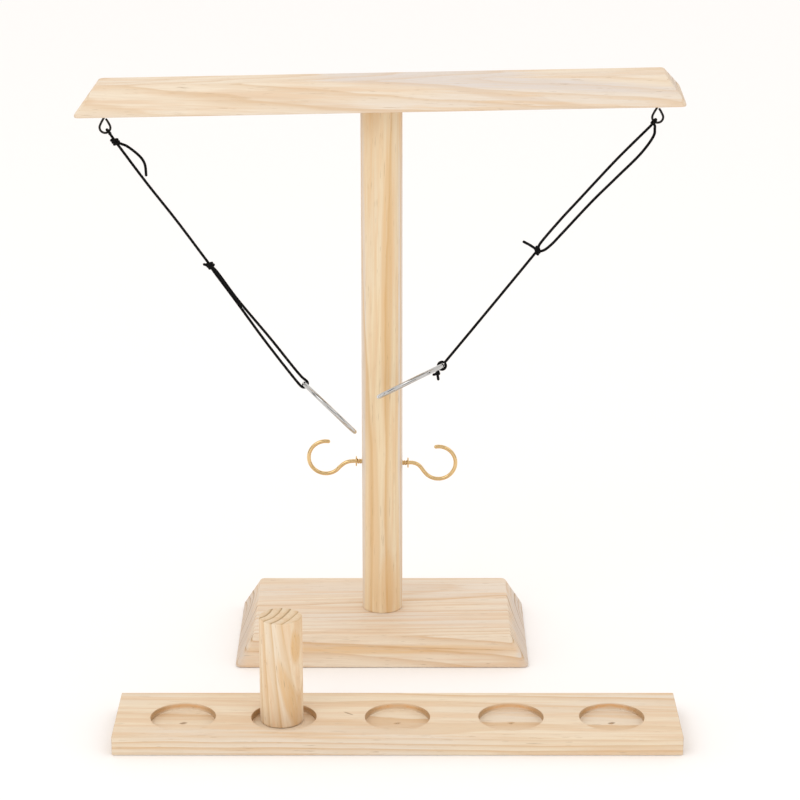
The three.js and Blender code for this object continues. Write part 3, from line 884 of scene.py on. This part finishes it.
HOOK_HEIGHT = {LEFT: 126.5 * MM, RIGHT: 125.4 * MM}
CURL_RISE = {LEFT: 2.7 * MM, RIGHT: 0.0}
CURL_OUT, CURL_RADIUS = 37.6 * MM, 11.4 * MM
CURL_FROM, CURL_TO = -144, 105
EYE_AT = {LEFT: -178 * MM, RIGHT: 177 * MM}
EYE_DROP, EYE_RADIUS, EYE_WIRE = 12.8 * MM, 3.5 * MM, 0.75 * MM


def arc_points(centre_x, centre_z, radius, start, stop, steps):
    points = []
    for k in range(steps + 1):
        turn = math.radians(start + (stop - start) * k / steps)
        points.append((centre_x + radius * math.cos(turn), 0.0, centre_z + radius * math.sin(turn)))
    return points


def place_mesh(piece, matrix):
    """Puts a piece's mesh in its place and turns its faces outwards again if the matrix mirrors it."""
    piece.data.transform(matrix)
    if matrix.determinant() < 0:
        piece.data.flip_normals()
    return piece


def thread_tree():
    """A wood-screw thread: one ridge that winds round a core, along Z."""
    tree = bpy.data.node_groups.new("Wood Thread", "GeometryNodeTree")
    interface = tree.interface
    for label in ("Length", "Pitch", "Core Radius", "Crest Radius", "Tip Radius"):
        interface.new_socket(name=label, in_out="INPUT", socket_type="NodeSocketFloat")
    interface.new_socket(name="Finish", in_out="INPUT", socket_type="NodeSocketMaterial")
    interface.new_socket(name="Result", in_out="OUTPUT", socket_type="NodeSocketGeometry")
    sheet = NodeSheet(tree)
    start, end = tree.nodes.new("NodeGroupInput"), tree.nodes.new("NodeGroupOutput")
    given = start.outputs
    spiral = sheet.add("GeometryNodeCurveSpiral")
    spiral.inputs["Resolution"].default_value = 28
    sheet.feed(spiral, "Rotations", sheet.math("DIVIDE", given["Length"], given["Pitch"]))
    sheet.feed(spiral, "Start Radius", given["Core Radius"])
    sheet.feed(spiral, "End Radius", given["Tip Radius"])
    sheet.feed(spiral, "Height", given["Length"])
    reach = sheet.math("SUBTRACT", given["Crest Radius"], given["Core Radius"])
    ridge = sheet.add("GeometryNodeCurvePrimitiveCircle")
    ridge.inputs["Resolution"].default_value = 4
    sheet.feed(ridge, "Radius", reach)
    swept = sheet.add("GeometryNodeCurveToMesh")
    sheet.feed(swept, "Curve", spiral.outputs[0])
    sheet.feed(swept, "Profile Curve", ridge.outputs[0])
    swept.inputs["Fill Caps"].default_value = True
    finish = sheet.add("GeometryNodeSetMaterial")
    sheet.feed(finish, "Geometry", swept.outputs[0])
    sheet.feed(finish, "Material", given["Finish"])
    tree.links.new(finish.outputs[0], end.inputs[0])
    return tree


def hook_piece(side, wire, pitch, tree):
    """A screw hook: thread, shank, dip and open curl, out along +X or mirrored to -X."""
    finish = material_for("hook brass")
    rise = CURL_RISE[side]
    curl = arc_points(CURL_OUT, rise, CURL_RADIUS, CURL_FROM, CURL_TO, 20)
    shank = [(x * MM, 0, 0) for x in (4, 8, 12, 16, 20.5)]
    points = smooth_path([*shank, (24.4 * MM, 0, 0.25 * curl[0][2]), *curl], 0.7 * MM)
    name = f"{SIDE_NAME[side]}_brass_hook"
    piece = tube_mesh(name, points, lambda distance, turn: wire, 20, finish, dome=1.0 * MM)

    blank = bpy.data.objects.new("thread blank", bpy.data.meshes.new("thread blank"))
    bpy.context.scene.collection.objects.link(blank)
    values = {"Length": 12.0 * MM, "Pitch": pitch, "Core Radius": wire, "Crest Radius": wire + 0.55 * MM,
              "Tip Radius": wire, "Finish": finish}
    thread = with_inputs(blank, tree, values)
    thread.data.transform(Matrix.Translation((4.4 * MM, 0, 0)) @ Matrix.Rotation(math.pi / 2, 4, "Y"))
    work = bmesh.new()
    work.from_mesh(piece.data)
    work.from_mesh(thread.data)
    bmesh.ops.recalc_face_normals(work, faces=work.faces)
    work.to_mesh(piece.data)
    work.free()
    bpy.data.objects.remove(thread)
    for polygon in piece.data.polygons:
        polygon.use_smooth = True

    mirror = Matrix.Diagonal((side, 1, 1, 1))
    return place_mesh(piece, Matrix.Translation((0, 0, HOOK_HEIGHT[side])) @ mirror)


def collar_piece(side, wire):
    """The pressed stop disc on a hook's shank, slightly dished."""
    name = f"{SIDE_NAME[side]}_brass_collar"
    inner, outer, half = wire + 0.02 * MM, 3.5 * MM, 0.45 * MM
    outline = [(inner, -half), (outer - 0.35 * MM, -half)]
    outline += [(outer - 0.35 * MM + 0.35 * MM * math.sin(t), -0.35 * MM * math.cos(t))
                for t in (0.5, 1.0, math.pi / 2, 2.1, 2.6)]
    outline += [(outer - 0.35 * MM, half), (inner + 0.7 * MM, half + 0.1 * MM), (inner, half)]
    sides, vertices, faces = 64, [], []
    for radius, height in outline:
        for k in range(sides):
            turn = 2 * math.pi * k / sides
            vertices.append((height, radius * math.cos(turn), radius * math.sin(turn)))
    rows = len(outline)
    for i in range(rows):
        for k in range(sides):
            n, j = (k + 1) % sides, (i + 1) % rows
            faces.append((i * sides + k, i * sides + n, j * sides + n, j * sides + k))
    piece = add_mesh(name, vertices, faces, material_for("hook brass"))
    work = bmesh.new()
    work.from_mesh(piece.data)
    bmesh.ops.recalc_face_normals(work, faces=work.faces)
    work.to_mesh(piece.data)
    work.free()
    hook_place = Matrix.Translation((side * 17.25 * MM, 0, HOOK_HEIGHT[side]))
    return place_mesh(piece, hook_place @ Matrix.Diagonal((side, 1, 1, 1)))


class RINGGAME_OT_hooks(bpy.types.Operator):
    """Build the two brass screw hooks and their stop discs"""

    bl_idname = "ring_game.hooks"
    bl_label = "Hooks"

    def execute(self, context):
        wire = context.scene.ring_game.wire
        tree = thread_tree()
        for side in (LEFT, RIGHT):
            name = SIDE_NAME[side]
            hook = hook_piece(side, wire.hook_wire, wire.thread_pitch, tree)
            settle(hook, "stand", "brass_wire", f"{name}_hook")
            settle(collar_piece(side, wire.hook_wire), "stand", "brass_wire", f"{name}_hook_collar")
        return {"FINISHED"}


class RINGGAME_OT_screw_eyes(bpy.types.Operator):
    """Build the wire eyes under the crossbar's ends"""

    bl_idname = "ring_game.screw_eyes"
    bl_label = "Screw Eyes"

    def execute(self, context):
        for side in (LEFT, RIGHT):
            ring = arc_points(0, -EYE_DROP, EYE_RADIUS, 155, 385, 26)
            lead = [(0, 0, 9.5 * MM), (0, 0, 4 * MM), (0, 0, -1 * MM), (0, 0, -4.7 * MM), (-0.3 * MM, 0, -6.2 * MM),
                    (-1.9 * MM, 0, 3.9 * MM - EYE_DROP)]
            stem_end = [(2.0 * MM, 0, 3.9 * MM - EYE_DROP), (0.75 * MM, 0, -6.9 * MM)]
            points = smooth_path([*lead, *ring, *stem_end], 0.35 * MM)
            name = SIDE_NAME[side]
            eye = tube_mesh(f"{name}_wire_eye", points, lambda distance, turn: EYE_WIRE, 16,
                            material_for("eye wire"), dome=0.5 * MM)
            place_mesh(eye, BAR_PLACE @ Matrix.Translation((EYE_AT[side], 0, 0)))
            settle(eye, "stand", "dark_wire", f"{name}_screw_eye")
        return {"FINISHED"}


def ring_frame(side):
    """The ring's centre and its own axes: across its hole, and along and across its wire at the grip."""
    node = frame["nodes"][f"{SIDE_NAME[side]}_ring"]
    points = [v.co.copy() for v in node.data.vertices]
    centre = sum(points, Vector()) / len(points)
    grip = LEFT_RING_GRIP if side == LEFT else RIGHT_RING_GRIP
    along = (centre - grip).normalized()
    across = Vector(JOINTS[f"{SIDE_NAME[side]}_ring_tilt"]["axis"])
    across = (across - along * across.dot(along)).normalized()
    return centre, along, across, (centre - grip).length


class RINGGAME_OT_rings(bpy.types.Operator):
    """Build the two welded steel rings"""

    bl_idname = "ring_game.rings"
    bl_label = "Rings"

    def execute(self, context):
        wire = context.scene.ring_game.wire.ring_wire
        for side in (LEFT, RIGHT):
            centre, along, across, radius = ring_frame(side)
            normal = along.cross(across)
            around, about = 160, 24
            vertices, faces = [], []
            for i in range(around):
                turn = 2 * math.pi * i / around
                out = along * math.cos(turn) + across * math.sin(turn)
                weld = math.exp(-((turn - 2.2) / 0.035) ** 2)
                thick = wire * (1 + 0.07 * weld)
                for k in range(about):
                    lean = 2 * math.pi * k / about
                    outward = centre + out * (radius + thick * math.cos(lean))
                    vertices.append(outward + normal * (thick * math.sin(lean)))
            for i in range(around):
                for k in range(about):
                    j, n = (i + 1) % around, (k + 1) % about
                    faces.append((i * about + k, i * about + n, j * about + n, j * about + k))
            name = SIDE_NAME[side]
            ring = add_mesh(f"{name}_steel_ring", vertices, faces, material_for("ring steel"))
            work = bmesh.new()
            work.from_mesh(ring.data)
            bmesh.ops.recalc_face_normals(work, faces=work.faces)
            work.to_mesh(ring.data)
            work.free()
            settle(ring, f"{name}_ring", "ring_steel", f"{name}_ring")
        return {"FINISHED"}


# ---------------------------------------------------------------- strings


def braided(radius, strands):
    """The radius of a braided string at each place along and round it."""
    lay = 2 * math.pi * 0.55 * radius * strands

    def radius_at(distance, turn):
        along = 2 * math.pi * distance / lay
        one_way = math.cos(strands * (turn / 2 + along / 2))
        other_way = math.cos(strands * (turn / 2 - along / 2))
        return radius * (0.955 + 0.045 * max(one_way * one_way, other_way * other_way))

    return radius_at


def string_piece(name, points, string, dome=0.9 * MM):
    return tube_mesh(name, points, braided(string.radius, string.strands), 18, material_for("black string"), dome)


def wraps(centre, axis, coil_radius, pitch, turns, lean=0.0, start=0.0, spacing=0.35 * MM):
    """A helix of string about a line, whose two ends tuck in towards the line."""
    axis = Vector(axis).normalized()
    side = axis.cross(Vector((0.2, 1, 0.1))).normalized()
    up = axis.cross(side)
    points, steps = [], int(turns * 40)
    for i in range(steps + 1):
        part = i / steps
        turn = start + 2 * math.pi * turns * part
        tuck = 1 - 0.45 * (max(0.0, 1 - part * turns * 4) + max(0.0, 1 - (1 - part) * turns * 4))
        height = pitch * turns * (part - 0.5) + lean * math.cos(turn)
        spoke = side * math.cos(turn) + up * math.sin(turn)
        points.append(Vector(centre) + axis * height + spoke * coil_radius * tuck)
    return even_points(points, spacing)


def grip_turn(grip, wire_axis, pull, wire_radius, string, overlap=0.0):
    """The turn of string that holds a wire: once round it, in the plane that faces along the pull."""
    wire_axis = Vector(wire_axis).normalized()
    pull = (Vector(pull) - wire_axis * Vector(pull).dot(wire_axis)).normalized()
    side = wire_axis.cross(pull)
    radius = wire_radius + string.radius + 0.05 * MM
    points = []
    for k in range(49):
        turn = 2 * math.pi * k / 48
        slip = overlap * (k / 48 - 0.5)
        points.append(Vector(grip) + (pull * math.cos(turn) + side * math.sin(turn)) * radius + wire_axis * slip)
    return even_points(points, 0.3 * MM)


# Short stretches of string: the stub below the left knot, the way into the right knot, the pass through the right
# eye, and the way back to the right knot.
LEFT_LOW_STUB = [(-0.1104, -0.0142, 0.2652), (-0.1132, -0.0146, 0.2660), (-0.1157, -0.0142, 0.2667)]
RIGHT_KNOT_IN = [(0.0993, -0.0225, 0.2768), (0.1003, -0.0222, 0.2784), (0.1009, -0.0218, 0.2800)]
RIGHT_EYE_PASS = [(0.1732, -0.0056, 0.3568), (0.1742, -0.0055, 0.3569), (0.1749, -0.0057, 0.3560)]
RIGHT_KNOT_OUT = [(0.1024, -0.0226, 0.2775), (0.1002, -0.0224, 0.2776)]


class RINGGAME_OT_left_string(bpy.types.Operator):
    """Build the left string: eye, knot, single run, knot, and the two legs that go round the ring"""

    bl_idname = "ring_game.left_string"
    bl_label = "Left String"

    def execute(self, context):
        string = context.scene.ring_game.string
        wire = context.scene.ring_game.wire.ring_wire
        cad = ("left_upper_knot", "left_cord_tail", "left_cord_run", "left_lower_knot", "left_cord_inner_leg",
               "left_cord_outer_leg", "left_ring_hitch")
        _, along, across, _ = ring_frame(LEFT)
        normal = along.cross(across)
        bend = wire + string.radius + 0.05 * MM
        turn = [LEFT_RING_GRIP + (along * math.sin(math.radians(a)) + normal * math.cos(math.radians(a))) * bend
                for a in (0, 30, 60, 90, 120, 150, 180)]
        neck = (Vector(LEFT_STRING[0]) - LEFT_EYE_GRIP).normalized() * (EYE_WIRE + string.radius)
        points = smooth_path([LEFT_EYE_GRIP + neck, *LEFT_STRING, *turn, *LEFT_STRING_BACK], 0.45 * MM)
        cord = string_piece("left_string", points, string)
        settle(cord, "left_string", "black_cord", *cad)

        pull = Vector(LEFT_STRING[1]) - LEFT_EYE_GRIP
        hitch = grip_turn(LEFT_EYE_GRIP, JOINTS["left_string_sway"]["axis"], pull, EYE_WIRE, string, 1.2 * MM)
        hitch_piece = string_piece("left_eye_turn", hitch, string)
        settle(hitch_piece, "left_hitch", "black_cord", "left_eye_hitch")

        tail = string_piece("left_string_tail", smooth_path(LEFT_TAIL, 0.45 * MM), string, 0.25 * MM)
        top_knot = wraps(LEFT_STRING[1], Vector(LEFT_STRING[2]) - Vector(LEFT_STRING[0]), 1.75 * MM, 1.6 * MM, 2.6,
                         lean=0.5 * MM, start=0.6)
        low_axis = Vector(LEFT_STRING[7]) - Vector(LEFT_STRING[5])
        low_knot = wraps(LEFT_STRING[6], low_axis, 1.8 * MM, 1.6 * MM, 2.4, lean=0.5 * MM, start=2.2)
        low_stub = smooth_path(LEFT_LOW_STUB, 0.3 * MM)
        pieces = [
            string_piece("left_upper_wraps", top_knot, string),
            string_piece("left_lower_wraps", low_knot, string),
            string_piece("left_lower_stub", low_stub, string),
            tail,
        ]
        for piece in pieces:
            settle(piece, "left_string", "black_cord")
        return {"FINISHED"}


class RINGGAME_OT_right_string(bpy.types.Operator):
    """Build the right string: ring, single run, knot, and the two legs that go through the eye"""

    bl_idname = "ring_game.right_string"
    bl_label = "Right String"

    def execute(self, context):
        string = context.scene.ring_game.string
        wire = context.scene.ring_game.wire.ring_wire
        cad = ("right_cord_inner_leg", "right_cord_outer_leg", "right_cord_knot", "right_cord_tail", "right_cord_run",
               "right_ring_hitch", "right_ring_knot")
        pull = (Vector(RIGHT_RUN[0]) - RIGHT_RING_GRIP).normalized()
        start = RIGHT_RING_GRIP + pull * (wire + string.radius)
        legs = [*RIGHT_KNOT_IN, *RIGHT_INNER_LEG[::-1], *RIGHT_EYE_PASS, *RIGHT_OUTER_LEG[::-1], *RIGHT_KNOT_OUT]
        points = smooth_path([start, *RIGHT_RUN, *legs], 0.45 * MM)
        cord = string_piece("right_string", points, string)
        settle(cord, "right_string", "black_cord", *cad)

        eye_pull = Vector(RIGHT_INNER_LEG[0]) - RIGHT_EYE_GRIP
        hitch = grip_turn(RIGHT_EYE_GRIP, JOINTS["right_string_sway"]["axis"], eye_pull, EYE_WIRE, string, 1.2 * MM)
        hitch_piece = string_piece("right_eye_turn", hitch, string)
        settle(hitch_piece, "right_hitch", "black_cord", "right_eye_hitch")

        _, along, across, _ = ring_frame(RIGHT)
        below = across.cross(along)
        ring_turn = grip_turn(RIGHT_RING_GRIP, across, pull, wire, string, 1.4 * MM)

        def at(inward, down):
            return RIGHT_RING_GRIP + along * (inward * MM) + below * (down * MM)

        small_knot = wraps(at(4.6, 3.2), along, 1.0 * MM, 1.2 * MM, 1.6, lean=0.3 * MM)
        ends = [smooth_path([at(3.0, 1.8), at(5.4, 3.0), at(8.2, 2.7)], 0.3 * MM),
                smooth_path([at(4.0, 2.6), at(5.2, 4.4), at(6.2, 7.6)], 0.3 * MM)]
        mid_axis = Vector(RIGHT_RUN[2]) - Vector(RIGHT_RUN[1])
        mid_knot = wraps((0.1002, -0.0223, 0.2778), mid_axis, 1.8 * MM, 1.5 * MM, 2.2, lean=0.5 * MM, start=1.0)
        pieces = [
            string_piece("right_knot_wraps", mid_knot, string),
            string_piece("right_string_tail", smooth_path(RIGHT_TAIL, 0.45 * MM), string, 0.25 * MM),
            string_piece("right_ring_turn", ring_turn, string),
            string_piece("right_ring_knot_wraps", small_knot, string),
            string_piece("right_ring_knot_end_1", ends[0], string),
            string_piece("right_ring_knot_end_2", ends[1], string),
        ]
        for piece in pieces:
            settle(piece, "right_string", "black_cord")
        return {"FINISHED"}


# ---------------------------------------------------------------- stage


def flat_panel(name, centre, facing, width, height, material):
    """A rectangle of the studio, which faces a point."""
    centre, facing = Vector(centre), Vector(facing)
    normal = (facing - centre).normalized()
    side = normal.cross(Vector((0, 0, 1)))
    side = side.normalized() if side.length > 1e-6 else Vector((1, 0, 0))
    up = side.cross(normal)
    corners = [centre + side * (a * width / 2) + up * (b * height / 2) for a, b in ((-1, -1), (1, -1), (1, 1), (-1, 1))]
    panel = add_mesh(name, corners, [(0, 1, 2, 3)], material, smooth=False)
    return panel


def plain_finish(name, colour, roughness=0.9):
    material, _, shader = new_material(name)
    shader.inputs["Base Color"].default_value = (*colour, 1)
    shader.inputs["Roughness"].default_value = roughness
    shader.inputs["Specular IOR Level"].default_value = 0.1
    return material


def soft_light(name, place, target, size, energy, colour=(1, 1, 1)):
    data = bpy.data.lights.new(name, "AREA")
    data.shape, data.size, data.size_y = "RECTANGLE", size[0], size[1]
    data.energy, data.color = energy, colour
    light = bpy.data.objects.new(name, data)
    light.location = place
    light.rotation_euler = (Vector(target) - Vector(place)).to_track_quat("-Z", "Y").to_euler()
    bpy.context.scene.collection.objects.link(light)
    return light


CAMERA_LENS = 118.1  # mm, on a 36 mm wide sensor
CAMERA_PLACE = (11.9 * MM, -1656.6 * MM, 708.7 * MM)
CAMERA_DOWN = 18.03  # degrees below level


class RINGGAME_OT_stage(bpy.types.Operator):
    """Set the camera, the pale floor and the soft studio light"""

    bl_idname = "ring_game.stage"
    bl_label = "Studio"

    def execute(self, context):
        scene = context.scene
        camera = bpy.data.cameras.new("Camera")
        camera.sensor_width, camera.lens = 36.0, CAMERA_LENS
        camera.clip_start, camera.clip_end = 0.05, 50
        eye = bpy.data.objects.new("Camera", camera)
        eye.location = CAMERA_PLACE
        eye.rotation_euler = (math.radians(90 - CAMERA_DOWN), 0, 0)
        scene.collection.objects.link(eye)
        scene.camera = eye

        world = bpy.data.worlds.new("Studio")
        world.use_nodes = True
        world.node_tree.nodes["Background"].inputs["Color"].default_value = (1.0, 0.974, 0.948, 1)
        world.node_tree.nodes["Background"].inputs["Strength"].default_value = 1.03
        scene.world = world
        scene.view_settings.view_transform = "Standard"

        flat_panel("floor", (0, 0, -0.0002), (0, 0, 1), 12, 12, plain_finish("pale floor", (0.975, 0.965, 0.965)))
        target = (0, -0.03, 0.18)
        soft_light("key light", (-0.9, -1.1, 1.5), target, (1.0, 1.0), 3.5)
        soft_light("fill light", (1.2, -0.9, 0.9), target, (1.1, 1.1), 0.6)
        soft_light("top light", (0.0, 0.4, 1.8), target, (1.2, 0.8), 1.0)

        card = plain_finish("dark card", (0.01, 0.01, 0.01))
        for name, centre, size in (
            ("left card", (-1.5, -0.3, 0.35), (0.5, 1.0)),
            ("right card", (1.5, -0.5, 0.5), (0.5, 1.0)),
            ("front card", (0.1, -2.3, 0.25), (2.2, 0.7)),
            ("top card", (0.0, -0.5, 2.6), (2.6, 1.0)),
        ):
            panel = flat_panel(name, centre, target, *size, card)
            panel.visible_camera = False
            panel.visible_diffuse = False
            panel.visible_shadow = False
            panel.visible_transmission = False
        return {"FINISHED"}


# ---------------------------------------------------------------- panel and run


class RINGGAME_PT_panel(bpy.types.Panel):
    """The game's pieces and their sizes and colours, in the sidebar"""

    bl_label = "Hook and Ring Game"
    bl_idname = "RINGGAME_PT_panel"
    bl_space_type = "VIEW_3D"
    bl_region_type = "UI"
    bl_category = "Ring Game"

    def draw(self, context):
        settings = context.scene.ring_game
        for group in (settings.wood, settings.wire, settings.string):
            box = self.layout.box()
            for key in group.__class__.__annotations__:
                box.prop(group, key)
        for operator in OPERATORS:
            self.layout.operator(operator.bl_idname)


OPERATORS = (
    RINGGAME_OT_stage, RINGGAME_OT_left_string, RINGGAME_OT_right_string, RINGGAME_OT_stand,
    RINGGAME_OT_drinks_board, RINGGAME_OT_hooks, RINGGAME_OT_screw_eyes, RINGGAME_OT_rings,
)
CLASSES = (RingGameWood, RingGameWire, RingGameString, RingGameSettings, *OPERATORS, RINGGAME_PT_panel)


def register():
    for cls in CLASSES:
        bpy.utils.register_class(cls)
    bpy.types.Scene.ring_game = PointerProperty(type=RingGameSettings)


def unregister():
    del bpy.types.Scene.ring_game
    for cls in reversed(CLASSES):
        bpy.utils.unregister_class(cls)


def main():
    register()
    for operator in OPERATORS:
        group, name = operator.bl_idname.split(".")
        getattr(getattr(bpy.ops, group), name)()
    bpy.context.view_layer.update()


if __name__ == "__main__":
    main()
